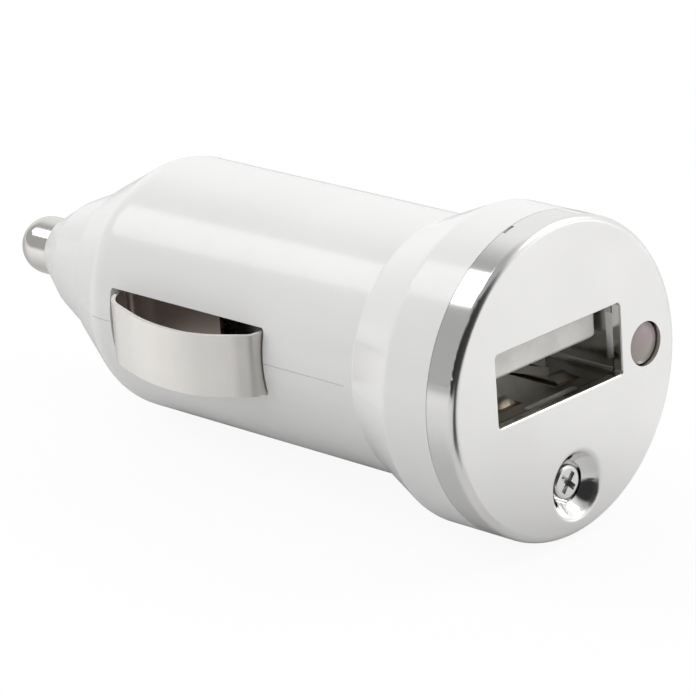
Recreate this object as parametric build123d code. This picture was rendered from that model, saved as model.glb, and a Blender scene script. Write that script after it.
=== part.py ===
"""Car USB charger plug: a bullet plug for a 12 V socket with one USB-A port.

Millimetres. The plug's axis is Y, +Z is up. The origin is on the axis where the barrel meets
the flare. The port faces -Y, the centre pin points along +Y, the side contacts are at -X and +X.
"""
from build123d import *
import math
import os

# Driving dimensions
port_width = 12.6
port_height = 5.16
port_x = -0.65
port_z = 1.3
head_radius = 11.35
barrel_radius = 9.35
head_length = 11.2
barrel_length = 26.1
shell_wall = 1.2
pin_radius = 2.2
contact_width = 4.54
contact_reach = 12.5
contact_wall_gap = 0.08
plate_x = 7.3
plate_height = 6.0
plate_end_y = 14.7

# Stations along the axis, from the origin where barrel and flare meet
face_y = -head_length
cap_rear_y = face_y + 2.5
collar_rear_y = face_y + 6.4
shoulder_y = barrel_length
ring_y = shoulder_y + 5.1
pin_dome_y = ring_y + 9.7

# Cap, plated and moulded in one piece
cap_disc = 0.75
cap_wall = 1.0
rim_round = 0.55
disc_rear_y = face_y + cap_disc
led_x = 8.15
led_z = 0.15
led_radius = 1.5
led_setback = 0.03
led_length = 5.4
led_dome = 0.33
led_hole_radius = 1.6
led_hole_x = 6.75
screw_x = 0.42
screw_z = -7.74
dimple_radius = 2.4
bowl_lip = 0.45
dimple_floor_radius = 1.5
bowl_depth = 0.95
screw_seat_y = face_y + 1.67
dimple_floor = 0.8
screw_head_radius = 1.23
cross_length = 1.65
cross_width = 0.42
cross_angle = 43.0
screw_head_height = 0.85
screw_shank_radius = 0.85
screw_length = 6.5
pry_notch_angle = 77.0

bowl_centre = (dimple_radius ** 2 - dimple_floor_radius ** 2 - bowl_depth ** 2) / (2 * bowl_depth)
bowl_radius = math.hypot(bowl_centre, dimple_radius)

# Shell halves
spigot_radius = head_radius - cap_wall - 0.1
spigot_front_y = disc_rear_y + 0.05
head_bore = spigot_radius - 1.0
barrel_bore = barrel_radius - shell_wall
flare_bore_y = -0.3
head_bore_y = -3.1
shoulder_bore_y = 25.8
chamber_floor_y = ring_y - 1.3
chamber_floor_radius = 5.9
neck_radius = 4.2
neck_end_y = ring_y + 2.9
flange_bore = 3.35
seam_width = 0.07
seam_depth = 0.06
seam_start_y = 0.8
ring_radius = 6.55
window_start_y = 8.6
window_end_y = 24.15
window_height = 5.0
boss_radius = 2.0
boss_end_y = -2.5
peg_radius = 0.6
peg_boss_radius = 1.15
peg_x = 6.2
peg_y = 27.7

# Nose cap, screwed over the neck of the two halves
nose_radius = 6.3
nose_break_y = ring_y + 4.6
nose_break_radius = 4.38
nose_front_y = ring_y + 7.7
nose_front_radius = 2.5
pin_running_gap = 0.05
flange_radius = 3.1
flange_front_y = ring_y + 5.1
flange_thickness = 1.1
pin_tail_radius = 1.75
pin_tail = 1.2
pin_travel = 2.0

# Pin terminal and spring
spring_wire = 0.45
spring_mean_radius = 2.35
spring_turns = 6
terminal_y = 28.0
terminal_radius = 3.1
terminal_sheet = 0.5
terminal_rim = 0.7

# Circuit board
steel_sheet = 0.3
board_thickness = 1.0
board_half_wide = 7.3
board_half_narrow = 3.6
board_front_y = -9.75
board_step_y = 4.8
board_end_y = terminal_y
board_top_z = port_z - port_height / 2 - steel_sheet
board_bottom_z = board_top_z - board_thickness

# Receptacle
port_inner_width = 12.5
port_inner_height = 5.12
receptacle_front_y = disc_rear_y + 0.05
receptacle_end_y = -1.3
lip_length = 0.5
lip_flare = 0.25
side_tab = 3.4
flat_tab = 5.0
tongue_front_y = face_y + 1.86
tongue_width = 11.7
tongue_thickness = 1.84
tongue_bottom_z = port_z - port_height / 2 + 2.46
housing_front_y = -4.2
finger_width = 1.7
finger_length = 4.4
finger_gap = 0.35
contact_pitch = (-3.5, -1.0, 1.0, 3.5)


def turned(points, rounds=()):
    """Solid turned about the axis. points are (station, radius); rounds are (point, radius)."""
    face = make_face(Polyline([(r, y) for y, r in points], close=True))
    for (y, r), radius in rounds:
        corner = face.vertices().sort_by_distance((r, y, 0))[0]
        face = fillet(corner, radius)
    return revolve(face, Axis.Y)


def bar(radius, start_y, end_y, x=0.0, z=0.0):
    """Round bar along the axis direction."""
    middle = (x, (start_y + end_y) / 2, z)
    return Pos(*middle) * (Rot(90, 0, 0) * Cylinder(radius, abs(end_y - start_y)))


def cone(radius_front, radius_rear, start_y, end_y, x=0.0, z=0.0):
    """Cone frustum along the axis, radius_front at start_y."""
    middle = (x, (start_y + end_y) / 2, z)
    return Pos(*middle) * (Rot(90, 0, 0) * Cone(radius_rear, radius_front, end_y - start_y))


def block(x0, x1, y0, y1, z0, z1):
    """Box between two corners."""
    size = (x1 - x0, y1 - y0, z1 - z0)
    return Pos((x0 + x1) / 2, (y0 + y1) / 2, (z0 + z1) / 2) * Box(*size)


def port_block(width, height, y0, y1, corner):
    """Rounded rectangle bar on the port's centre line."""
    section = Plane((port_x, y0, port_z), x_dir=(1, 0, 0), z_dir=(0, 1, 0))
    return extrude(section * RectangleRounded(width, height, corner), y1 - y0)


def port_flare(width, height, corner):
    """Flared mouth of the receptacle's shell."""
    section = Plane((port_x, receptacle_front_y, port_z), x_dir=(1, 0, 0), z_dir=(0, 1, 0))
    wide = RectangleRounded(width + 2 * lip_flare, height + 2 * lip_flare, corner + lip_flare)
    return extrude(section * wide, lip_length, taper=math.degrees(math.atan(lip_flare / lip_length)))


def outer_points(inset=0.0):
    """Outline of the joined halves, from the spigot to the neck."""
    return [
        (spigot_front_y, 0),
        (spigot_front_y, spigot_radius - inset),
        (cap_rear_y, spigot_radius - inset),
        (cap_rear_y, head_radius - inset),
        (collar_rear_y, head_radius - inset),
        (0, barrel_radius - inset),
        (shoulder_y, barrel_radius - inset),
        (ring_y, ring_radius - inset),
        (ring_y, neck_radius - inset),
        (neck_end_y, neck_radius - inset),
        (neck_end_y, 0),
    ]


def outer_form(inset=0.0):
    """Solid outside of the joined halves."""
    rounds = (
        ((collar_rear_y, head_radius - inset), 0.9),
        ((0, barrel_radius - inset), 0.6),
        ((shoulder_y, barrel_radius - inset), 3.0),
        ((ring_y, ring_radius - inset), 0.2),
    )
    return turned(outer_points(inset), rounds)


def inner_form():
    """Hollow inside of the joined halves."""
    return turned([
        (spigot_front_y - 1, 0),
        (spigot_front_y - 1, head_bore),
        (head_bore_y, head_bore),
        (flare_bore_y, barrel_bore),
        (shoulder_bore_y, barrel_bore),
        (chamber_floor_y, chamber_floor_radius),
        (chamber_floor_y, flange_bore),
        (neck_end_y + 1, flange_bore),
        (neck_end_y + 1, 0),
    ])


def windows():
    """Cutters for the two side windows."""
    length = window_end_y - window_start_y
    middle = (window_end_y + window_start_y) / 2
    section = Plane((0, middle, 0), x_dir=(0, 1, 0), z_dir=(1, 0, 0))
    return extrude(section * RectangleRounded(length, window_height, 0.3), 12, both=True)


def seam_groove():
    """Fine groove where the halves meet along the barrel; on the head the joint is closed."""
    skin = outer_form() - outer_form(seam_depth)
    slab = block(-20, 20, seam_start_y, shoulder_y, -seam_width / 2, seam_width / 2)
    return skin & slab


def shells():
    """Upper and lower half of the body."""
    form = outer_form()
    hollow = inner_form()
    body = form - hollow - windows() - seam_groove()
    body -= bar(led_hole_radius + 0.05, spigot_front_y - 1, cap_rear_y + 0.4, led_x, led_z)
    body -= bar(2.05, cap_rear_y + 0.2, face_y + 5.8, led_x, led_z)
    body -= bar(dimple_radius + 0.35, spigot_front_y - 1, cap_rear_y + 0.02, screw_x, screw_z)
    upper = split(body, Plane.XY, keep=Keep.TOP)
    lower = split(body, Plane.XY, keep=Keep.BOTTOM)

    boss = bar(boss_radius, cap_rear_y + 0.02, boss_end_y, screw_x, screw_z)
    lower += boss & form
    lower -= bar(screw_shank_radius + 0.05, cap_rear_y - 1, boss_end_y + 1, screw_x, screw_z)

    ledge = block(6.4, 9.3, 0.3, 4.5, board_bottom_z - 1.4, board_bottom_z)
    rib = block(6.6, 9.3, 0.8, 2.0, board_top_z, 0.0) & inner_form()
    rib += block(6.6, 9.3, 0.8, 2.0, 0.0, 1.2) & form
    for side in (-1, 1):
        lower += (ledge if side > 0 else mirror(ledge, Plane.YZ)) & form
        upper += rib if side > 0 else mirror(rib, Plane.YZ)
    for side in (-1, 1):
        post = Pos(side * peg_x, peg_y, 0) * Cylinder(peg_boss_radius, 16)
        posts = post & form
        upper += split(posts, Plane.XY, keep=Keep.TOP)
        lower += split(posts, Plane.XY, keep=Keep.BOTTOM)
        upper -= Pos(side * peg_x, peg_y, 0) * Cylinder(peg_radius + 0.05, 2.4)
        lower += Pos(side * peg_x, peg_y, 0) * Cylinder(peg_radius, 2.0)
    return upper, lower


def nose_cap():
    """Turned nose that holds the halves together and guides the pin."""
    form = turned([
        (ring_y, 0),
        (ring_y, nose_radius),
        (nose_break_y, nose_break_radius),
        (nose_front_y, nose_front_radius),
        (nose_front_y, 0),
    ], (((nose_break_y, nose_break_radius), 1.6),))
    form -= bar(neck_radius + 0.1, ring_y - 1, neck_end_y + 0.1)
    form -= bar(flange_bore, ring_y, flange_front_y + 0.05)
    form -= bar(pin_radius + pin_running_gap, ring_y, nose_front_y + 1)
    return form


def centre_pin():
    """Domed pin with the flange that keeps it in the nose and a tail for the spring."""
    flange_rear_y = flange_front_y - flange_thickness
    pin = bar(pin_radius, flange_front_y, pin_dome_y)
    pin += Pos(0, pin_dome_y, 0) * Sphere(pin_radius)
    pin += bar(flange_radius, flange_rear_y, flange_front_y)
    pin += cone(pin_tail_radius - 0.35, pin_tail_radius, flange_rear_y - pin_tail, flange_rear_y)
    return pin


def pin_spring():
    """Compression spring between the terminal and the pin's flange."""
    start_y = terminal_y + terminal_sheet + spring_wire / 2
    end_y = flange_front_y - flange_thickness - spring_wire / 2
    pitch = (end_y - start_y) / spring_turns
    coil = Helix(pitch, end_y - start_y, spring_mean_radius)
    section = Plane(coil @ 0, z_dir=coil % 0) * RegularPolygon(spring_wire / 2, 6)
    spring = sweep(section, coil, is_frenet=True)
    return Pos(0, start_y, 0) * (Rot(-90, 0, 0) * spring)


def pin_terminal():
    """Brass cup under the spring, with the tab that is soldered to the board."""
    rim_y = terminal_y + terminal_sheet + terminal_rim
    cup = bar(terminal_radius, terminal_y, rim_y)
    cup -= bar(terminal_radius - 0.3, terminal_y + terminal_sheet, rim_y + 1)
    cup += block(-1.3, 1.3, board_end_y - 3.0, terminal_y + 0.2, board_top_z, board_top_z + 0.4)
    return cup


def contact_leg_x():
    """Distance from the axis to the middle of a contact's leg, just inside the barrel's wall."""
    edge = math.sqrt((barrel_bore - contact_wall_gap) ** 2 - (contact_width / 2) ** 2)
    return edge - steel_sheet / 2


def contact_path():
    """Centre line of a side contact in plan, for the -X side, from the nose end."""
    leg = contact_leg_x()
    crown = contact_reach - steel_sheet / 2
    points = [
        (-plate_x, plate_end_y),
        (-plate_x, window_end_y + 0.05),
        (-(crown - 1.85), window_end_y - 1.4),
        (-crown, window_start_y + 8.6),
        (-crown, window_start_y + 3.7),
        (-(crown - 2.3), window_start_y + 0.25),
        (-leg, window_start_y + 0.25),
        (-leg, window_start_y - 1.9),
    ]
    return FilletPolyline(points, radius=[0.45, 3.0, 14.0, 7.0, 0.7, 0.4])


def side_contact(side):
    """Nickel strip arched out through a window. side is -1 or 1."""
    path = contact_path()
    section = Plane(path @ 0, x_dir=(0, 0, 1), z_dir=path % 0) * Rectangle(contact_width, steel_sheet)
    strip = sweep(section, path)
    half = plate_height / 2
    outer_x = -plate_x - steel_sheet / 2
    ears = block(outer_x, outer_x + steel_sheet, plate_end_y, window_end_y - 1.6, -half, half)
    strip += fillet(ears.edges().filter_by(Axis.X), 0.5)
    return strip if side < 0 else mirror(strip, Plane.YZ)


def face_cap():
    """Plated cap: disc, rounded rim and side wall, with the port, lamp hole and screw dimple."""
    form = turned([
        (face_y, 0),
        (face_y, head_radius),
        (cap_rear_y - 0.05, head_radius),
        (cap_rear_y - 0.05, 0),
    ], (((face_y, head_radius), rim_round),))
    form -= bar(head_radius - cap_wall, disc_rear_y, cap_rear_y + 1)
    cup = bar(dimple_floor_radius + 1.0, face_y, screw_seat_y + dimple_floor, screw_x, screw_z)
    form += cup
    seat_rear_y = screw_seat_y + dimple_floor
    form += block(screw_x - 0.8, screw_x + 0.8, disc_rear_y, seat_rear_y, -head_radius + 0.8, screw_z - 2)
    form -= Pos(screw_x, face_y - bowl_centre, screw_z) * Sphere(bowl_radius)
    form -= bar(dimple_floor_radius, face_y, screw_seat_y, screw_x, screw_z)
    form -= bar(screw_shank_radius + 0.15, face_y, cap_rear_y + 2, screw_x, screw_z)
    form -= bar(led_hole_radius, face_y - 1, disc_rear_y + 1, led_x, led_z)
    form -= port_block(port_width, port_height, face_y - 1, disc_rear_y + 1, 0.25)
    lips = form.edges().filter_by_position(Axis.Y, face_y - 0.01, face_y + 0.01)
    near_port = [e for e in lips if abs(e.center().X - port_x) < 7 and abs(e.center().Z - port_z) < 3]
    form = fillet(near_port, 0.15)
    dimple_lip = [
        e for e in form.edges().filter_by(GeomType.CIRCLE)
        if abs(e.radius - dimple_radius) < 0.01
    ]
    form = fillet(dimple_lip, bowl_lip)
    notch = block(-head_radius - 1, -head_radius + 0.35, cap_rear_y - 0.3, cap_rear_y, -0.5, 0.5)
    return form - Rot(0, pry_notch_angle, 0) * notch


def cap_screw():
    """Small cross-head screw that holds the cap to the lower half."""
    head_top_y = screw_seat_y - screw_head_height
    head = bar(screw_head_radius, head_top_y, screw_seat_y, screw_x, screw_z)
    rim = head.edges().filter_by(GeomType.CIRCLE).sort_by(Axis.Y)[0]
    head = fillet(rim, 0.25)
    shank = bar(screw_shank_radius, screw_seat_y, screw_seat_y + screw_length - 1.2, screw_x, screw_z)
    tip_y = screw_seat_y + screw_length
    point = cone(screw_shank_radius, 0.2, tip_y - 1.2, tip_y, screw_x, screw_z)
    cross = Box(cross_length, 0.6, cross_width) + Box(cross_width, 0.6, cross_length)
    cross = Pos(screw_x, head_top_y + 0.2, screw_z) * (Rot(0, cross_angle, 0) * cross)
    return head + shank + point - cross


def finger(width, length, dip):
    """Bent spring finger along +Y from its free end, lying on z = 0 with its tip dipped."""
    points = [(0, 0, -0.1), (0, 0.9, -dip), (0, length, 0), (0, length + 0.2, 0)]
    path = FilletPolyline(points, radius=[0.8, 1.5])
    section = Plane(path @ 0, x_dir=(1, 0, 0), z_dir=path % 0) * Rectangle(width, steel_sheet - 0.05)
    return sweep(section, path)


def usb_shell():
    """Folded steel shell with sprung fingers in its top, bottom and sides, and solder legs."""
    outer_w = port_inner_width + 2 * steel_sheet
    outer_h = port_inner_height + 2 * steel_sheet
    shell = port_block(outer_w, outer_h, receptacle_front_y, receptacle_end_y, 0.7)
    through = (receptacle_front_y - 1, receptacle_end_y + 1)
    shell -= port_block(port_inner_width, port_inner_height, *through, 0.45)
    flare = port_flare(outer_w, outer_h, 0.7) - port_flare(port_inner_width, port_inner_height, 0.45)
    lip_y = (receptacle_front_y, receptacle_front_y + lip_length)
    side_tabs = block(-20, 20, *lip_y, port_z - side_tab / 2, port_z + side_tab / 2)
    flat_tabs = block(port_x - flat_tab / 2, port_x + flat_tab / 2, *lip_y, -20, 20)
    tabs = side_tabs + flat_tabs
    shell = (shell - tabs) + (flare & tabs)
    start_y = receptacle_front_y + 1.5
    slot_w = finger_width + 2 * finger_gap
    top_z = port_z + outer_h / 2
    low_z = port_z - outer_h / 2
    half = steel_sheet / 2
    for x in (port_x - 3.0, port_x + 3.0):
        slot_y = (start_y - finger_gap, start_y + finger_length)
        for z in (top_z, low_z):
            shell -= block(x - slot_w / 2, x + slot_w / 2, *slot_y, z - 0.5, z + 0.5)
        shell += Pos(x, start_y, top_z - half) * finger(finger_width, finger_length, 0.45)
        shell += Pos(x, start_y, low_z + half) * mirror(finger(finger_width, finger_length, 0.45), Plane.XY)
    for side in (-1, 1):
        wall_x = port_x + side * (outer_w / 2 - half)
        for y in (-7.6, -3.2):
            shell += block(wall_x - half, wall_x + half, y - 0.6, y + 0.6, board_bottom_z - 0.7, port_z)
    return shell


def usb_contact(x):
    """One spring contact: sprung nose under the tongue, straight run, solder tail."""
    z = tongue_bottom_z
    rear_y = receptacle_end_y + 0.75
    path = FilletPolyline(
        (x, tongue_front_y + 0.5, z + 0.35),
        (x, tongue_front_y + 1.5, z - 0.25),
        (x, tongue_front_y + 3.2, z + 0.05),
        (x, rear_y, z + 0.05),
        (x, rear_y, board_bottom_z - 0.6),
        radius=[0.5, 0.6, 0.4],
    )
    section = Plane(path @ 0, x_dir=(1, 0, 0), z_dir=path % 0) * Rectangle(0.9, 0.2)
    return sweep(section, path)


def usb_housing(contacts):
    """Insulator: rear block, and the tongue that carries the contacts."""
    tongue = block(
        port_x - tongue_width / 2, port_x + tongue_width / 2,
        tongue_front_y, housing_front_y,
        tongue_bottom_z, tongue_bottom_z + tongue_thickness)
    front = tongue.edges().filter_by(Axis.Z).sort_by(Axis.Y)[0:2]
    tongue = fillet(front, 0.35)
    front_low = tongue.faces().sort_by(Axis.Z)[0].edges().sort_by(Axis.Y)[0]
    tongue = chamfer(front_low, 0.25)
    rear = port_block(port_inner_width - 0.1, port_inner_height - 0.1, housing_front_y, receptacle_end_y, 0.4)
    form = tongue + rear
    for x, contact in zip(contact_pitch, contacts):
        middle = port_x + x
        groove_y = (tongue_front_y + 0.4, housing_front_y)
        form -= block(middle - 0.55, middle + 0.55, *groove_y, tongue_bottom_z - 1, tongue_bottom_z + 0.6)
        form -= contact
    return form


def led():
    """Low-domed lamp, 3 mm."""
    tip_y = face_y + led_setback
    base_y = tip_y + led_length
    dome = (led_radius ** 2 + led_dome ** 2) / (2 * led_dome)
    lamp = bar(led_radius, tip_y, base_y, led_x, led_z)
    lamp &= Pos(led_x, tip_y + dome, led_z) * Sphere(dome)
    flange = bar(1.9, base_y - 0.8, base_y, led_x, led_z)
    flange -= block(led_x - 3, led_x - 1.65, base_y - 1, base_y + 0.1, led_z - 3, led_z + 3)
    return lamp + flange


def led_lead(side):
    """One lead of the lamp, bent down through the board. side is -1 or 1."""
    base_y = face_y + led_setback + led_length
    hole_x = led_hole_x
    hole_y = -4.4 if side < 0 else -2.2
    z = led_z + side * 1.27 / 1.6
    points = [
        (led_x, base_y, z),
        (led_x, hole_y - 0.6, z),
        (hole_x, hole_y, z),
        (hole_x, hole_y, board_bottom_z - 0.7),
    ]
    path = FilletPolyline(points, radius=[0.3, 0.35])
    section = Plane(path @ 0, z_dir=path % 0) * Rectangle(0.45, 0.45)
    return sweep(section, path)


def circuit_board(through):
    """T-shaped board with slots for the receptacle's legs and holes for the tails."""
    thickness = (board_bottom_z, board_top_z)
    wide = block(-board_half_wide, board_half_wide, board_front_y, board_step_y, *thickness)
    narrow = block(-board_half_narrow, board_half_narrow, board_step_y, board_end_y, *thickness)
    board = wide + narrow
    for x in (port_x - 6.4, port_x + 6.4):
        for y in (-7.6, -3.2):
            board -= block(x - 0.35, x + 0.35, y - 0.8, y + 0.8, board_bottom_z - 1, board_top_z + 1)
    for x in contact_pitch:
        board -= Pos(port_x + x, receptacle_end_y + 0.75, board_top_z) * Cylinder(0.6, 4)
    for side in (-1, 1):
        hole_y = -4.4 if side < 0 else -2.2
        board -= Pos(led_hole_x, hole_y, board_top_z) * Cylinder(0.35, 4)
    for item in through:
        board -= item
    return board


def chip():
    """Eight-leg switching regulator."""
    x, y = 3.4, 2.4
    body = block(x - 2.0, x + 2.0, y - 2.45, y + 2.45, board_top_z + 0.15, board_top_z + 1.6)
    for i in range(4):
        leg_y = y - 1.905 + 1.27 * i
        body += block(x - 3.0, x + 3.0, leg_y - 0.2, leg_y + 0.2, board_top_z, board_top_z + 0.2)
    return body


def inductor():
    """Drum core and its winding."""
    y = 10.4
    base = board_top_z
    core = Pos(0, y, base + 0.4) * Cylinder(3.0, 0.8)
    core += Pos(0, y, base + 2.3) * Cylinder(1.3, 3.4)
    core += Pos(0, y, base + 4.2) * Cylinder(3.0, 0.8)
    coil = Pos(0, y, base + 2.3) * (Cylinder(2.6, 2.9) - Cylinder(1.35, 4))
    return core, coil


def can_capacitor(x, y, radius, height):
    """Upright can with the rolled groove near its base."""
    base = board_top_z
    can = Pos(x, y, base + height / 2) * Cylinder(radius, height)
    groove = Pos(x, y, base + 1.2) * Torus(radius + 0.12, 0.3)
    top = can.edges().filter_by(GeomType.CIRCLE).sort_by(Axis.Z)[-1]
    return fillet(top, 0.3) - groove


def chip_part(x, y, length, width, height, under=True):
    """Small two-ended part soldered on the board."""
    z0, z1 = (board_bottom_z - height, board_bottom_z) if under else (board_top_z, board_top_z + height)
    part = block(x - length / 2, x + length / 2, y - width / 2, y + width / 2, z0, z1)
    return chamfer(part.edges().filter_by(Axis.Z), 0.08)


def ground_lead(side):
    """Short insulated wire from a side contact's nose end to the board."""
    start_x = plate_x - steel_sheet / 2
    pad_x = board_half_narrow - 0.75
    points = [
        (side * start_x, window_end_y - 3.0, -0.6),
        (side * (start_x - 1.3), window_end_y - 3.0, -0.6),
        (side * (start_x - 2.4), window_end_y - 1.6, 0.5),
        (side * pad_x, window_end_y - 0.6, 0.3),
        (side * pad_x, window_end_y - 0.6, board_top_z),
    ]
    path = FilletPolyline(points, radius=[0.7, 0.9, 0.5])
    section = Plane(path @ 0, z_dir=path % 0) * Circle(0.35)
    return sweep(section, path)


def build():
    """All nodes by name."""
    upper, lower = shells()
    contacts = [usb_contact(port_x + x) for x in contact_pitch]
    leads = [led_lead(-1), led_lead(1)]
    core, coil = inductor()
    nodes = {
        "upper_shell": upper,
        "lower_shell": lower,
        "nose_cap": nose_cap(),
        "centre_pin": centre_pin(),
        "pin_spring": pin_spring(),
        "pin_terminal": pin_terminal(),
        "side_contact_left": side_contact(-1),
        "side_contact_right": side_contact(1),
        "face_cap": face_cap(),
        "cap_screw": cap_screw(),
        "usb_shell": usb_shell(),
        "usb_housing": usb_housing(contacts),
        "led": led(),
        "led_lead_lower": leads[0],
        "led_lead_upper": leads[1],
        "circuit_board": circuit_board(contacts + leads),
        "regulator_chip": chip(),
        "inductor_core": core,
        "inductor_coil": coil,
        "input_capacitor": can_capacitor(0, 18.0, 3.15, 6.0),
        "output_capacitor": can_capacitor(-4.0, 2.3, 2.5, 5.4),
        "diode": chip_part(0, 17.5, 2.6, 4.3, 2.1),
        "fuse": chip_part(0, 22.6, 2.6, 4.4, 1.6),
        "ceramic_capacitor": chip_part(3.0, 2.6, 2.0, 1.25, 1.0),
        "led_resistor": chip_part(4.9, -1.9, 1.6, 0.8, 0.5),
        "divider_resistor_1": chip_part(-3.4, 1.6, 1.6, 0.8, 0.5),
        "divider_resistor_2": chip_part(-3.4, 3.2, 1.6, 0.8, 0.5),
        "ground_lead_left": ground_lead(-1),
        "ground_lead_right": ground_lead(1),
    }
    for number, contact in enumerate(contacts, 1):
        nodes[f"usb_contact_{number}"] = contact
    return nodes


def main():
    """Write one STEP file for each node."""
    os.makedirs("parts", exist_ok=True)
    for name, solid in build().items():
        export_step(solid, f"parts/{name}.step")
        print(name, round(solid.volume, 2))


main()
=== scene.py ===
import math

import bmesh
import bpy
from bpy.props import FloatProperty, FloatVectorProperty, PointerProperty
from mathutils import Matrix, Vector


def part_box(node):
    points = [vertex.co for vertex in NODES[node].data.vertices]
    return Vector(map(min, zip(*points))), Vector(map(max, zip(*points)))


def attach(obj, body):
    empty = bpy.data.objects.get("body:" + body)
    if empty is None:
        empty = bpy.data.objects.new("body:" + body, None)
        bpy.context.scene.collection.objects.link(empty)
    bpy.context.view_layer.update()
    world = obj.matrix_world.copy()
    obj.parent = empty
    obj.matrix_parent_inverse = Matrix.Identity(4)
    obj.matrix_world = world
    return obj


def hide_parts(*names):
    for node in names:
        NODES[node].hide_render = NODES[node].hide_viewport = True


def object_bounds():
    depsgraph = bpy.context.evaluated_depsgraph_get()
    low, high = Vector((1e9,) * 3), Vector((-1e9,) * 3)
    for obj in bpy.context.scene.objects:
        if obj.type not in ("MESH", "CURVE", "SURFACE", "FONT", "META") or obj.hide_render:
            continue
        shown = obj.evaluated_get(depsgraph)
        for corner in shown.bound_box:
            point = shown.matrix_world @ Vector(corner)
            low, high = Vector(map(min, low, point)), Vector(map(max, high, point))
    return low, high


bl_info = {
    "name": "Car Charger Plug",
    "version": (1, 0, 0),
    "blender": (4, 5, 0),
    "location": "View3D > Sidebar > Charger",
    "description": "Finishes, fine pieces and studio for a car USB charger plug",
    "category": "Object",
}

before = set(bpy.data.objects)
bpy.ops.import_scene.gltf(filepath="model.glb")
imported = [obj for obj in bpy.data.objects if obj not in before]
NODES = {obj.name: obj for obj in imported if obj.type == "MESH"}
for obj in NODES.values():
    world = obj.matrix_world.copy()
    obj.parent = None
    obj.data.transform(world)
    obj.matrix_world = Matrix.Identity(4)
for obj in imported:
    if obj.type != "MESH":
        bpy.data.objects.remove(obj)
CAD_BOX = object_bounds()
MM = 0.001
AIM_Y = 8.8 * MM


class Socket:
    """A shader socket that arithmetic can be written on."""

    def __init__(self, finish, out):
        self.finish = finish
        self.out = out

    def math(self, operation, *values):
        """One Math node on the values given."""
        return self.finish.node("ShaderNodeMath", {"operation": operation}, dict(enumerate(values)))

    def __add__(self, other):
        return self.math("ADD", self, other)

    def __radd__(self, other):
        return self.math("ADD", other, self)

    def __sub__(self, other):
        return self.math("SUBTRACT", self, other)

    def __rsub__(self, other):
        return self.math("SUBTRACT", other, self)

    def __mul__(self, other):
        return self.math("MULTIPLY", self, other)

    def __rmul__(self, other):
        return self.math("MULTIPLY", other, self)

    def __truediv__(self, other):
        return self.math("DIVIDE", self, other)

    def __rtruediv__(self, other):
        return self.math("DIVIDE", other, self)

    def between(self, low, high):
        """0 at low, 1 at high, smooth between them."""
        values = {"Value": self, "From Min": low, "From Max": high}
        return self.finish.node("ShaderNodeMapRange", {"interpolation_type": "SMOOTHSTEP"}, values)


class Finish:
    """A material in the making."""

    def __init__(self, name, tree=None):
        self.material = None
        if tree is None:
            self.material = bpy.data.materials.new(name)
            self.material.use_nodes = True
            tree = self.material.node_tree
        self.tree = tree
        self.tree.nodes.clear()

    def node(self, kind, settings=None, values=None, output=0):
        """A node of a kind, with its settings made first, then the values or links of its sockets."""
        made = self.tree.nodes.new(kind)
        for key, value in (settings or {}).items():
            if key == "stops":
                self.stops(made.color_ramp, value)
            else:
                setattr(made, key, value)
        for key, value in (values or {}).items():
            if isinstance(value, Socket):
                self.tree.links.new(value.out, made.inputs[key])
            else:
                made.inputs[key].default_value = value
        return Socket(self, made.outputs[output])

    def stops(self, ramp, stops):
        """Sets a ramp's stops, each a place and a grey or a colour."""
        while len(ramp.elements) < len(stops):
            ramp.elements.new(0.5)
        for element, (place, tone) in zip(ramp.elements, stops):
            element.position = place
            element.color = (tone, tone, tone, 1) if isinstance(tone, float) else (*tone, 1)

    def place(self):
        """Where a point is on the object, in metres."""
        return self.node("ShaderNodeTexCoord", output=3)

    def stretched(self, scale):
        """Object coordinates stretched along X, Y and Z."""
        return self.node("ShaderNodeMapping", values={"Vector": self.place(), "Scale": scale})

    def noise(self, size, detail=2.0, roughness=0.5, vector=None):
        """Cloudy noise with features of a size in metres."""
        values = {
            "Vector": vector or self.place(), "Scale": 1.0 / size, "Detail": detail, "Roughness": roughness}
        return self.node("ShaderNodeTexNoise", values=values)

    def tint(self, amount, first, second):
        """Mixes two colours by an amount."""
        values = {0: amount, 6: first, 7: second}
        return self.node("ShaderNodeMix", {"data_type": "RGBA"}, values, output=2)

    def bump(self, height, depth, strength=1.0, below=None):
        """Small relief, depth in metres."""
        values = {"Height": height, "Distance": depth, "Strength": strength}
        if below:
            values["Normal"] = below
        return self.node("ShaderNodeBump", values=values)

    def surface(self, **values):
        """The shader and the output, from words such as base_color or roughness."""
        named = {key.replace("_", " ").title().replace("Ior", "IOR"): value for key, value in values.items()}
        shader = self.node("ShaderNodeBsdfPrincipled", values=named)
        return self.finish(shader)

    def finish(self, shader):
        """Links a shader to the material's output."""
        out = self.tree.nodes.new("ShaderNodeOutputMaterial")
        self.tree.links.new(shader.out, out.inputs["Surface"])
        return self.material


def colour(value, lift=1.0):
    """A setting's colour as a shader colour."""
    return (value[0] * lift, value[1] * lift, value[2] * lift, 1.0)


# Settings

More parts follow.
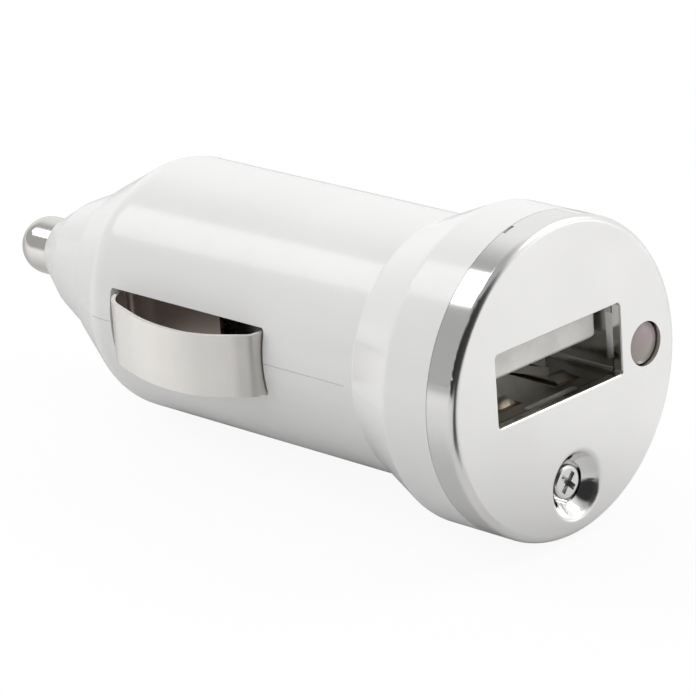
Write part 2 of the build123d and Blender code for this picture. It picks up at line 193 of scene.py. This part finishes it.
class ChargerFinishes(bpy.types.PropertyGroup):
    """Colours of the plug's materials."""

    plastic: FloatVectorProperty(
        name="Body plastic", description="Colour of the moulded shell and nose",
        default=(0.845, 0.84, 0.835), size=3, min=0, max=1, subtype="COLOR")
    plastic_roughness: FloatProperty(
        name="Body gloss", description="Roughness of the moulded shell",
        default=0.16, min=0, max=1, subtype="FACTOR")
    plating: FloatVectorProperty(
        name="Cap plating", description="Colour of the plated cap",
        default=(0.83, 0.825, 0.815), size=3, min=0, max=1, subtype="COLOR")
    nickel: FloatVectorProperty(
        name="Nickel", description="Colour of the pin and the side contacts",
        default=(0.76, 0.74, 0.71), size=3, min=0, max=1, subtype="COLOR")
    # Painted shade: colour of the side contacts' inner plates, darker and browner where they sit back in the
    # window.
    painted_inner_shade: FloatVectorProperty(
        name="Inner_shade", description="Colour of the side contacts' inner plates",
        default=(0.42, 0.36, 0.33), size=3, min=0, max=1, subtype="COLOR")
    steel: FloatVectorProperty(
        name="Steel", description="Colour of the port's folded shell",
        default=(0.76, 0.75, 0.72), size=3, min=0, max=1, subtype="COLOR")
    brass: FloatVectorProperty(
        name="Gilt", description="Colour of the port's contacts and the brass cup",
        default=(0.84, 0.74, 0.60), size=3, min=0, max=1, subtype="COLOR")
    tongue: FloatVectorProperty(
        name="Port insulator", description="Colour of the port's tongue",
        default=(0.92, 0.91, 0.87), size=3, min=0, max=1, subtype="COLOR")
    resin: FloatVectorProperty(
        name="Lamp resin", description="Colour of the lamp's resin",
        default=(0.50, 0.40, 0.41), size=3, min=0, max=1, subtype="COLOR")
    board: FloatVectorProperty(
        name="Circuit board", description="Colour of the board's lacquer",
        default=(0.20, 0.12, 0.075), size=3, min=0, max=1, subtype="COLOR")


class ChargerSizes(bpy.types.PropertyGroup):
    """Sizes of the fine pieces."""

    cup_radius: FloatProperty(
        name="Lamp cup radius", description="Radius of the reflector cup inside the lamp",
        default=0.95 * MM, min=0, precision=5, unit="LENGTH", subtype="DISTANCE")
    cup_depth: FloatProperty(
        name="Lamp cup depth", description="Depth of the reflector cup inside the lamp",
        default=0.9 * MM, min=0, precision=5, unit="LENGTH", subtype="DISTANCE")
    wire_radius: FloatProperty(
        name="Winding wire", description="Radius of the coil's wire",
        default=0.16 * MM, min=0, precision=5, unit="LENGTH", subtype="DISTANCE")
    solder_radius: FloatProperty(
        name="Solder pad", description="Radius of a solder fillet on the board",
        default=0.75 * MM, min=0, precision=5, unit="LENGTH", subtype="DISTANCE")


class ChargerStudio(bpy.types.PropertyGroup):
    """Camera and light."""

    azimuth: FloatProperty(
        name="Azimuth", description="Camera's bearing round the plug, 0 looks along +Y",
        default=math.radians(-44.607), subtype="ANGLE", unit="ROTATION")
    elevation: FloatProperty(
        name="Elevation", description="Camera's height above the horizon",
        default=math.radians(19.953), subtype="ANGLE", unit="ROTATION")
    roll: FloatProperty(
        name="Roll", description="Camera's roll about its view",
        default=math.radians(-4.056), subtype="ANGLE", unit="ROTATION")
    distance: FloatProperty(
        name="Distance", description="Camera's distance from the point it was fitted to",
        default=282.917 * MM, min=0, unit="LENGTH", subtype="DISTANCE")
    lens: FloatProperty(
        name="Focal length", description="Lens on a sensor 36 mm wide",
        default=36 * 4000 / 696, min=1)
    key_power: FloatProperty(
        name="Key light", description="Power of the softbox above the nose",
        default=0.37, min=0, subtype="POWER", unit="POWER")
    fill_power: FloatProperty(
        name="Fill light", description="Power of the softbox in front",
        default=0.85, min=0, subtype="POWER", unit="POWER")
    sky: FloatProperty(
        name="Room light", description="Strength of the even light from the room",
        default=0.82, min=0)
    floor: FloatVectorProperty(
        name="Floor", description="Colour of the floor",
        default=(0.98, 0.98, 0.98), size=3, min=0, max=1, subtype="COLOR")


# Helpers for pieces

def clear_selection():
    """Nothing selected, no active object, object mode."""
    if bpy.context.object and bpy.context.object.mode != "OBJECT":
        bpy.ops.object.mode_set(mode="OBJECT")
    bpy.ops.object.select_all(action="DESELECT")


def settle(name, material=None):
    """Applies the active object's place to its mesh, names it and gives it a material."""
    piece = bpy.context.object
    bpy.ops.object.transform_apply(location=True, rotation=True, scale=True)
    piece.name = name
    piece.data.name = name
    if material:
        piece.data.materials.clear()
        piece.data.materials.append(material)
    return piece


def dress(material, *names):
    """Gives CAD nodes a material."""
    for name in names:
        slots = NODES[name].data.materials
        slots.clear()
        slots.append(material)


def join(pieces, name):
    """Joins pieces into one object."""
    clear_selection()
    for piece in pieces:
        piece.select_set(True)
    bpy.context.view_layer.objects.active = pieces[0]
    bpy.ops.object.join()
    whole = bpy.context.object
    whole.name = name
    whole.data.name = name
    return whole


def copies(piece, moves):
    """Copies of a piece, each with its own mesh, moved by the amounts given."""
    made = []
    for move in moves:
        clear_selection()
        piece.select_set(True)
        bpy.context.view_layer.objects.active = piece
        bpy.ops.object.duplicate()
        bpy.ops.transform.translate(value=move)
        made.append(settle(piece.name))
    return made


def edit_select(piece, test):
    """Opens a piece in edit mode with only the faces that pass a test selected."""
    bpy.ops.object.mode_set(mode="EDIT")
    bpy.ops.mesh.select_mode(type="FACE")
    bpy.ops.mesh.select_all(action="DESELECT")
    mesh = bmesh.from_edit_mesh(piece.data)
    for face in mesh.faces:
        face.select_set(test(face))
    bmesh.update_edit_mesh(piece.data)


# Finishes

def plastic_finish(name, tone, roughness):
    """Glossy white moulding: faint flow marks, a slow waviness and fine dust in the gloss."""
    made = Finish(name)
    cloud = made.noise(9 * MM, 3.0)
    fine = made.noise(0.35 * MM, 2.0)
    shade = made.tint(cloud.between(0.3, 0.7), colour(tone), colour(tone, 0.975))
    wave = made.bump(made.noise(3.2 * MM, 1.0), 0.012 * MM)
    skin = made.bump(fine, 0.0015 * MM, below=wave)
    gloss = roughness + made.noise(1.5 * MM, 3.0).between(0.45, 0.75) * 0.06
    return made.surface(
        base_color=shade, roughness=gloss, normal=skin, ior=1.5, coat_weight=0.25, coat_roughness=0.05)


def metal_finish(name, tone, roughness, grain=(3000, 3000, 3000), spots=0.03, depth=0.0004 * MM):
    """Plated or drawn metal: grain by its counts along X, Y and Z in a metre, and faint clouding."""
    made = Finish(name)
    values = {"Vector": made.stretched(grain), "Scale": 1.0, "Detail": 3.0}
    streaks = made.node("ShaderNodeTexNoise", values=values)
    cloud = made.noise(4 * MM, 3.0).between(0.35, 0.7)
    shade = made.tint(cloud, colour(tone), colour(tone, 1 - spots * 2))
    gloss = roughness + streaks.between(0.35, 0.7) * roughness * 0.3 + cloud * spots
    relief = made.bump(streaks, depth)
    return made.surface(base_color=shade, roughness=gloss, metallic=1.0, normal=relief)


def dull_finish(name, tone, roughness, grain_size=0.25 * MM, depth=0.01 * MM, second=None):
    """Moulded resin, lacquer or ceramic with a fine grain."""
    made = Finish(name)
    fine = made.noise(grain_size, 3.0)
    shade = made.tint(fine.between(0.3, 0.75), colour(tone), colour(second or tone, 1.0 if second else 0.85))
    return made.surface(base_color=shade, roughness=roughness + fine * 0.1, normal=made.bump(fine, depth))


# Operators

class CHARGER_OT_body_finish(bpy.types.Operator):
    """Gives the shell halves and the nose their glossy plastic."""

    bl_idname = "charger.body_finish"
    bl_label = "Body plastic"

    def execute(self, context):
        look = context.scene.charger_finishes
        shell = plastic_finish("body_plastic", look.plastic, look.plastic_roughness)
        cooler = [tone * 0.985 for tone in look.plastic]
        nose = plastic_finish("nose_plastic", cooler, look.plastic_roughness + 0.06)
        dress(shell, "upper_shell", "lower_shell")
        dress(nose, "nose_cap")
        return {"FINISHED"}


class CHARGER_OT_cap_finish(bpy.types.Operator):
    """Gives the cap its bright plating with a satin face, and its screw a plated steel."""

    bl_idname = "charger.cap_finish"
    bl_label = "Cap plating"

    def execute(self, context):
        look = context.scene.charger_finishes
        made = Finish("cap_plating")
        along = made.node("ShaderNodeSeparateXYZ", values={"Vector": made.place()}, output=1)
        satin_start, face = -10.7 * MM, -11.2 * MM
        front = along.between(satin_start, face)
        cloud = made.noise(5 * MM, 3.0).between(0.3, 0.7)
        shade = made.tint(cloud, colour(look.plating), colour(look.plating, 0.97))
        gloss = 0.08 + front * 0.17 + cloud * 0.02
        relief = made.bump(made.noise(2.5 * MM, 2.0), 0.002 * MM)
        plating = made.surface(base_color=shade, roughness=gloss, metallic=1.0, normal=relief)
        dress(plating, "face_cap")
        screw = metal_finish("screw_plating", look.plating, 0.16, spots=0.04, depth=0.001 * MM)
        dress(screw, "cap_screw")
        return {"FINISHED"}


class CHARGER_OT_contact_finish(bpy.types.Operator):
    """Gives the pin, the side contacts and the parts behind them their metals."""

    bl_idname = "charger.contact_finish"
    bl_label = "Pin and contacts"

    def execute(self, context):
        look = context.scene.charger_finishes
        pin = metal_finish("pin_nickel", look.nickel, 0.10, grain=(900, 9000, 900))
        strip = self.strip(look)
        wire = metal_finish("spring_wire", look.steel, 0.25, spots=0.05)
        brass = metal_finish("cup_brass", look.brass, 0.22, spots=0.06)
        lead = dull_finish("lead_insulation", (0.03, 0.03, 0.03), 0.4)
        dress(pin, "centre_pin")
        dress(strip, "side_contact_left", "side_contact_right")
        dress(wire, "pin_spring", "led_lead_lower", "led_lead_upper")
        dress(brass, "pin_terminal")
        dress(lead, "ground_lead_left", "ground_lead_right")
        return {"FINISHED"}

    def strip(self, look):
        """Bright rolled nickel strip, duller at the bend by the port, with painted shade making its inner
        plate darker and browner.
        """
        made = Finish("strip_nickel")
        across = made.node("ShaderNodeSeparateXYZ", values={"Vector": made.place()})
        along = made.node("ShaderNodeSeparateXYZ", values={"Vector": made.place()}, output=1)
        plate_outer, plate_inner = 8.6 * MM, 7.6 * MM
        bend_start, bend_end = 10.4 * MM, 9.4 * MM
        inside = across.math("ABSOLUTE", across).between(plate_outer, plate_inner)
        bend = along.between(bend_start, bend_end)
        rolled = {"Vector": made.stretched((300, 300, 6000)), "Scale": 1.0, "Detail": 3.0}
        streaks = made.node("ShaderNodeTexNoise", values=rolled)
        cloud = made.noise(4 * MM, 3.0).between(0.35, 0.7)
        bright = made.tint(cloud, colour(look.nickel), colour(look.nickel, 0.95))
        # Painted shade: the inner plates, set back in the window, take the darker, browner colour.
        shade = made.tint(inside, bright, colour(look.painted_inner_shade))
        gloss = 0.13 + streaks.between(0.35, 0.7) * 0.04 + cloud * 0.03 + bend * 0.28 + inside * 0.22
        relief = made.bump(streaks, 0.0002 * MM)
        return made.surface(base_color=shade, roughness=gloss, metallic=1.0, normal=relief)


class CHARGER_OT_port_finish(bpy.types.Operator):
    """Gives the port its steel shell, darkened by painted shade, its pale tongue and gilt contacts."""

    bl_idname = "charger.port_finish"
    bl_label = "Port"

    def execute(self, context):
        look = context.scene.charger_finishes
        drawn = (500, 3000, 500)
        # Painted shade: the port's steel is darkened to 0.72 of its colour for the shade inside the port.
        shade_in_port = 0.72
        steel_in_painted_shade = [tone * shade_in_port for tone in look.steel]
        shell = metal_finish("port_steel", steel_in_painted_shade, 0.16, grain=drawn, spots=0.04, depth=0.0002 * MM)
        tongue = dull_finish("tongue_plastic", look.tongue, 0.35, 2.0 * MM, 0.001 * MM)
        gilt = metal_finish("contact_gilt", look.brass, 0.18, spots=0.05)
        dress(shell, "usb_shell")
        dress(tongue, "usb_housing")
        dress(gilt, *[f"usb_contact_{number}" for number in (1, 2, 3, 4)])
        return {"FINISHED"}


class CHARGER_OT_inner_finish(bpy.types.Operator):
    """Gives the circuit board and what stands on it their finishes."""

    bl_idname = "charger.inner_finish"
    bl_label = "Circuit board"

    def execute(self, context):
        look = context.scene.charger_finishes
        made = Finish("board_lacquer")
        cells = {"Vector": made.place(), "Scale": 1 / (1.4 * MM), "Randomness": 0.35}
        weave = made.node("ShaderNodeTexVoronoi", {"distance": "CHEBYCHEV"}, cells)
        tracks = weave.between(0.32, 0.38)
        shade = made.tint(tracks, colour(look.board), colour(look.board, 1.5))
        relief = made.bump(tracks, 0.02 * MM)
        board = made.surface(base_color=shade, roughness=0.3 + tracks * 0.08, normal=relief)
        dress(board, "circuit_board")
        resin = dull_finish("black_resin", (0.02, 0.02, 0.022), 0.5)
        ferrite = dull_finish("ferrite", (0.05, 0.05, 0.055), 0.6, 0.15 * MM, 0.02 * MM)
        ceramic = dull_finish("ceramic", (0.55, 0.44, 0.30), 0.45)
        can = metal_finish("can_aluminium", (0.70, 0.70, 0.72), 0.25, grain=(800, 800, 5000))
        copper = metal_finish("winding_copper", (0.60, 0.25, 0.10), 0.28, spots=0.08)
        dress(resin, "regulator_chip", "diode", "led_resistor", "divider_resistor_1", "divider_resistor_2")
        dress(ferrite, "inductor_core")
        dress(copper, "inductor_coil")
        dress(can, "input_capacitor", "output_capacitor")
        dress(ceramic, "fuse", "ceramic_capacitor")
        return {"FINISHED"}


class CHARGER_OT_winding(bpy.types.Operator):
    """Winds the coil's wire round the drum core in place of its plain sleeve."""

    bl_idname = "charger.winding"
    bl_label = "Coil winding"

    def execute(self, context):
        wire = context.scene.charger_sizes.wire_radius
        low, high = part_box("inductor_coil")
        middle = [(low[i] + high[i]) / 2 for i in range(3)]
        outer = (high[0] - low[0]) / 2 - wire
        count = int((high[2] - low[2] - wire) / (2 * wire))
        step = (high[2] - low[2] - 2 * wire) / (count - 1)
        clear_selection()
        bpy.ops.mesh.primitive_torus_add(
            location=(middle[0], middle[1], low[2] + wire), major_radius=outer, minor_radius=wire * 0.98,
            major_segments=40, minor_segments=8)
        bpy.ops.object.shade_smooth()
        turn = settle("turn", bpy.data.materials["winding_copper"])
        moves = [(0, 0, step * number) for number in range(1, count)]
        coil = join([turn] + copies(turn, moves), "coil_winding")
        clear_selection()
        bpy.ops.mesh.primitive_cylinder_add(
            vertices=40, radius=outer, depth=high[2] - low[2] - 0.02 * MM, location=middle)
        sleeve = settle("inner_turns", bpy.data.materials["winding_copper"])
        edit_select(sleeve, lambda face: abs(face.normal.z) > 0.9)
        bpy.ops.mesh.inset(thickness=outer - 1.36 * MM)
        bpy.ops.mesh.delete(type="FACE")
        bpy.ops.object.mode_set(mode="OBJECT")
        bpy.ops.object.shade_smooth_by_angle(angle=math.radians(40))
        whole = join([coil, sleeve], "coil_winding")
        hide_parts("inductor_coil")
        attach(whole, "charger")
        return {"FINISHED"}


class CHARGER_OT_solder(bpy.types.Operator):
    """Puts domed solder fillets where the wires meet the board."""

    bl_idname = "charger.solder"
    bl_label = "Solder joints"

    def execute(self, context):
        radius = context.scene.charger_sizes.solder_radius
        low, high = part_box("circuit_board")
        tin = metal_finish("solder_tin", (0.68, 0.68, 0.70), 0.22, spots=0.08, depth=0.004 * MM)
        places = []
        for number in (1, 2, 3, 4):
            first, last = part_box(f"usb_contact_{number}")
            places.append(((first[0] + last[0]) / 2, last[1] - 0.1 * MM))
        for name in ("led_lead_lower", "led_lead_upper"):
            first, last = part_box(name)
            places.append((first[0] + 0.3 * MM, (last[1] - 0.25 * MM)))
        clear_selection()
        bpy.ops.mesh.primitive_cone_add(
            vertices=20, radius1=radius, radius2=radius * 0.35, depth=0.5 * MM,
            location=(*places[0], low[2] - 0.25 * MM), rotation=(math.pi, 0, 0))
        joint = settle("joint", tin)
        bevel = joint.modifiers.new("soft", "BEVEL")
        bevel.width = 0.15 * MM
        bevel.segments = 3
        bpy.ops.object.modifier_apply(modifier=bevel.name)
        bpy.ops.object.shade_smooth_by_angle(angle=math.radians(50))
        moves = [(x - places[0][0], y - places[0][1], 0) for x, y in places[1:]]
        joints = [joint] + copies(joint, moves)
        whole = join(joints, "solder_joints")
        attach(whole, "charger")
        return {"FINISHED"}


class CHARGER_OT_lamp(bpy.types.Operator):
    """Gives the lamp its tinted resin with painted shading, and models the reflector cup and the post inside
    it.
    """

    bl_idname = "charger.lamp"
    bl_label = "Indicator lamp"

    def execute(self, context):
        look = context.scene.charger_finishes
        made = Finish("lamp_resin")
        depth = made.noise(1.2 * MM, 2.0)
        height = made.node("ShaderNodeSeparateXYZ", values={"Vector": made.place()}, output=2)
        # Painted shading: the resin runs from mauve at the top to warm grey lower down.
        lower_painted_tone = height.between(0.6 * MM, -0.9 * MM)
        shade = made.tint(lower_painted_tone, colour(look.resin), colour((0.46, 0.43, 0.37)))
        resin = made.surface(
            base_color=shade, roughness=0.05 + depth * 0.03, transmission_weight=0.2, ior=1.55)
        dress(resin, "led")
        silver = metal_finish("cup_silver", (0.80, 0.79, 0.78), 0.25, spots=0.05)
        pieces = [self.cup(context, silver), self.post(context, silver)]
        whole = join(pieces, "lamp_cup")
        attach(whole, "charger")
        return {"FINISHED"}

    def middle(self):
        """The lamp's middle line and the station of its tip."""
        low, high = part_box("led")
        return (low[0] + high[0]) / 2, low[1], (low[2] + high[2]) / 2

    def cup(self, context, silver):
        """Tapered block with the dished reflector in its front."""
        sizes = context.scene.charger_sizes
        x, y, z = self.middle()
        clear_selection()
        bpy.ops.mesh.primitive_cylinder_add(
            vertices=32, radius=sizes.cup_radius, depth=2 * sizes.cup_depth,
            location=(x, y + 1.1 * MM + sizes.cup_depth, z), rotation=(math.pi / 2, 0, 0))
        cup = settle("cup", silver)
        edit_select(cup, lambda face: face.normal.y < -0.9)
        bpy.ops.mesh.inset(thickness=0.12 * MM)
        bpy.ops.mesh.extrude_region_move(TRANSFORM_OT_translate={"value": (0, sizes.cup_depth * 0.6, 0)})
        bpy.ops.transform.resize(value=(0.55, 1.0, 0.55), center_override=(x, y, z))
        rear = y + 1.2 * MM + sizes.cup_depth * 1.5
        edit_select(cup, lambda face: face.normal.y > 0.9 and face.calc_center_median().y > rear)
        bpy.ops.transform.resize(value=(0.8, 1.0, 0.6), center_override=(x, y, z))
        bpy.ops.object.mode_set(mode="OBJECT")
        bevel = cup.modifiers.new("soft", "BEVEL")
        bevel.width = 0.04 * MM
        bevel.segments = 2
        bpy.ops.object.modifier_apply(modifier=bevel.name)
        bpy.ops.object.shade_smooth_by_angle(angle=math.radians(35))
        return cup

    def post(self, context, silver):
        """Flat post beside the cup with its hammer-shaped head."""
        sizes = context.scene.charger_sizes
        x, y, z = self.middle()
        clear_selection()
        bpy.ops.mesh.primitive_cube_add(
            size=1.0, location=(x, y + 2.4 * MM, z + 1.14 * MM), scale=(0.5 * MM, 2.0 * MM, 0.25 * MM))
        post = settle("post", silver)
        edit_select(post, lambda face: face.normal.y < -0.9)
        bpy.ops.mesh.extrude_region_move(TRANSFORM_OT_translate={"value": (0, -0.35 * MM, 0)})
        bpy.ops.transform.resize(value=(1.9, 1.0, 1.0), center_override=(x, y, z + 1.14 * MM))
        bpy.ops.object.mode_set(mode="OBJECT")
        bevel = post.modifiers.new("soft", "BEVEL")
        bevel.width = 0.05 * MM
        bevel.segments = 2
        bpy.ops.object.modifier_apply(modifier=bevel.name)
        bpy.ops.object.shade_smooth_by_angle(angle=math.radians(35))
        return post


class CHARGER_OT_studio(bpy.types.Operator):
    """Sets up the floor, the soft lights, the room and the camera."""

    bl_idname = "charger.studio"
    bl_label = "Studio"

    def execute(self, context):
        studio = context.scene.charger_studio
        self.floor(studio)
        self.lights(studio)
        self.room(context, studio)
        self.camera(context, studio)
        context.scene.view_settings.view_transform = "Standard"
        return {"FINISHED"}

    def floor(self, studio):
        """Pale paper under the plug, which bright metal sees toned by its bearing: painted tones, a painted
        shadow near the plug and a painted dark patch.
        """
        clear_selection()
        low = CAD_BOX[0][2]
        gap = 0.05 * MM
        head_rest = 4.9 * MM
        head_over_barrel, shoulder_distance = 2.02, 31.2
        rise = math.atan2(head_over_barrel, shoulder_distance)
        middle = (0, 0, low - gap + head_rest * math.tan(rise))
        bpy.ops.mesh.primitive_plane_add(size=6.0, location=middle, rotation=(rise, 0, 0))
        floor = settle("floor")
        made = Finish("floor_paper")
        seen = made.node("ShaderNodeLightPath") + made.node("ShaderNodeLightPath", output=6)
        glossy = made.node("ShaderNodeLightPath", output=3)
        shift = {"Vector": made.place(), "Location": (0, -AIM_Y, 0)}
        middle = made.node("ShaderNodeMapping", values=shift)
        turn = made.node("ShaderNodeTexGradient", {"gradient_type": "RADIAL"}, {"Vector": middle}, output=1)
        away = made.node("ShaderNodeVectorMath", {"operation": "LENGTH"}, {0: middle}, output=1)
        # Painted tones by bearing, seen only by glossy rays; near the plug they hold a painted shadow,
        # falling to 0.45 on the +X +Y side where the wide tones stay at 0.95.
        stops = [
            (0.0, 0.75), (0.1, 0.65), (0.2, 0.7), (0.27, 0.86), (0.356, 0.95), (0.45, 0.8), (0.625, 0.45),
            (0.76, 0.55), (0.79, 0.85), (0.82, 1.0), (0.86, 1.0), (0.9, 0.88), (0.96, 0.76), (1.0, 0.75)]
        near = made.node("ShaderNodeValToRGB", {"stops": stops}, {0: turn})
        stops = [
            (0.0, 0.7), (0.27, 0.86), (0.356, 0.95), (0.625, 0.95), (0.75, 0.75), (0.875, 0.5), (1.0, 0.6)]
        wide = made.node("ShaderNodeValToRGB", {"stops": stops}, {0: turn})
        # Painted dark patch: on the camera's side, 37 to 46 mm from the plug, the tones drop to 0.05, which
        # bright metal mirrors as a dark band.
        stops = [(0.11, 1.0), (0.14, 0.05), (0.19, 0.1), (0.225, 1.0)]
        front = made.node("ShaderNodeValToRGB", {"stops": stops}, {0: turn})
        far = away.between(60 * MM, 200 * MM)
        ring = away.between(37 * MM, 46 * MM)
        mirrored = (near * (1 - far) + wide * far) * (1 - ring * (1 - front))
        plain = made.tint(glossy, (0.62, 0.62, 0.62, 1), mirrored)
        sheet = made.tint(seen, plain, colour(studio.floor))
        paper = made.node("ShaderNodeBsdfDiffuse", values={"Color": sheet})
        white = made.node("ShaderNodeEmission", values={"Color": (1, 1, 1, 1), "Strength": 1.0})
        mixed = made.node("ShaderNodeMixShader", values={0: seen * 0.92, 1: paper, 2: white})
        floor.data.materials.clear()
        floor.data.materials.append(made.finish(mixed))

    def lights(self, studio):
        """One soft lamp above the far side and one in front of the cap."""
        boxes = (
            ("key_softbox", (-0.25, 0.67, 0.69), 0.55, (0.18, 0.30), studio.key_power),
            ("front_softbox", (0.62, -0.45, 0.62), 0.60, (0.30, 0.30), studio.fill_power),
        )
        for name, way, far, size, power in boxes:
            clear_selection()
            way = Vector(way).normalized()
            bpy.ops.object.light_add(type="AREA", location=way * far)
            lamp = bpy.context.object
            lamp.name = name
            lamp.rotation_euler = way.to_track_quat("Z", "Y").to_euler()
            lamp.data.shape = "RECTANGLE"
            lamp.data.size, lamp.data.size_y = size
            lamp.data.energy = power

    def room(self, context, studio):
        """White to the camera, toned cards to the metal and an even sky to the rest."""
        world = bpy.data.worlds.new("room")
        world.use_nodes = True
        context.scene.world = world
        made = Finish("room", world.node_tree)
        seen = made.node("ShaderNodeLightPath") + made.node("ShaderNodeLightPath", output=6)
        glossy = made.node("ShaderNodeLightPath", output=3)
        way = made.node("ShaderNodeTexCoord")
        across = made.node("ShaderNodeSeparateXYZ", values={"Vector": way})
        along = made.node("ShaderNodeSeparateXYZ", values={"Vector": way}, output=1)
        behind_camera = (across * -0.7 + along * -0.7).between(0.4, 0.6)
        window = across * 0.74 - along * 0.66
        glint = window.between(0.96, 0.99) * 0.8 + window.between(0.9975, 0.999) * 6
        mirrored = (0.45 + across.between(0.0, 0.45) * 0.5) * (1 - behind_camera * 0.93) + glint
        port_side = (along * -1).between(0.75, 0.95)
        even = studio.sky * (1 + along * 0.85 + port_side * 1.3)
        room = glossy * mirrored + (1 - glossy) * even
        strength = seen + (1 - seen) * room
        light = made.node("ShaderNodeBackground", values={"Color": (1, 1, 1, 1), "Strength": strength})
        out = world.node_tree.nodes.new("ShaderNodeOutputWorld")
        world.node_tree.links.new(light.out, out.inputs["Surface"])

    def camera(self, context, studio):
        """The photo's own view of the plug."""
        a, e, r = studio.azimuth, studio.elevation, studio.roll
        back = Vector((math.sin(a) * math.cos(e), -math.cos(a) * math.cos(e), math.sin(e)))
        side = (-back).cross(Vector((0, 0, 1))).normalized()
        up = side.cross(-back)
        right = math.cos(r) * side + math.sin(r) * up
        top = -math.sin(r) * side + math.cos(r) * up
        aim = Vector((0, AIM_Y, 0))
        shift_right, shift_up = -0.457 * MM, -1.652 * MM
        eye = aim + back * studio.distance + right * shift_right + top * shift_up
        clear_selection()
        bpy.ops.object.camera_add(location=eye)
        camera = bpy.context.object
        turn = Matrix((right, top, back)).transposed()
        camera.rotation_euler = turn.to_euler()
        camera.data.lens = studio.lens
        camera.data.sensor_width = 36
        camera.data.clip_start = 0.01
        context.scene.camera = camera


class CHARGER_PT_panel(bpy.types.Panel):
    """Lists the plug's settings and steps."""

    bl_idname = "CHARGER_PT_panel"
    bl_label = "Charger plug"
    bl_space_type = "VIEW_3D"
    bl_region_type = "UI"
    bl_category = "Charger"

    def draw(self, context):
        layout = self.layout
        for place, group in GROUPS:
            box = layout.box()
            for name in group.__annotations__:
                box.prop(getattr(context.scene, place), name)
        for operator in STEPS:
            layout.operator(operator.bl_idname)


GROUPS = (
    ("charger_finishes", ChargerFinishes),
    ("charger_sizes", ChargerSizes),
    ("charger_studio", ChargerStudio),
)
STEPS = (
    CHARGER_OT_body_finish,
    CHARGER_OT_cap_finish,
    CHARGER_OT_contact_finish,
    CHARGER_OT_port_finish,
    CHARGER_OT_inner_finish,
    CHARGER_OT_winding,
    CHARGER_OT_solder,
    CHARGER_OT_lamp,
    CHARGER_OT_studio,
)


def register():
    """Adds the settings and the steps to Blender."""
    for name, group in GROUPS:
        bpy.utils.register_class(group)
        setattr(bpy.types.Scene, name, PointerProperty(type=group))
    for cls in (*STEPS, CHARGER_PT_panel):
        bpy.utils.register_class(cls)


def unregister():
    """Takes them out again."""
    for cls in reversed((*STEPS, CHARGER_PT_panel)):
        bpy.utils.unregister_class(cls)
    for name, group in reversed(GROUPS):
        delattr(bpy.types.Scene, name)
        bpy.utils.unregister_class(group)


def main():
    """Registers the add-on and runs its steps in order."""
    register()
    for step in STEPS:
        group, name = step.bl_idname.split(".")
        getattr(getattr(bpy.ops, group), name)()
    clear_selection()


if __name__ == "__main__":
    main()
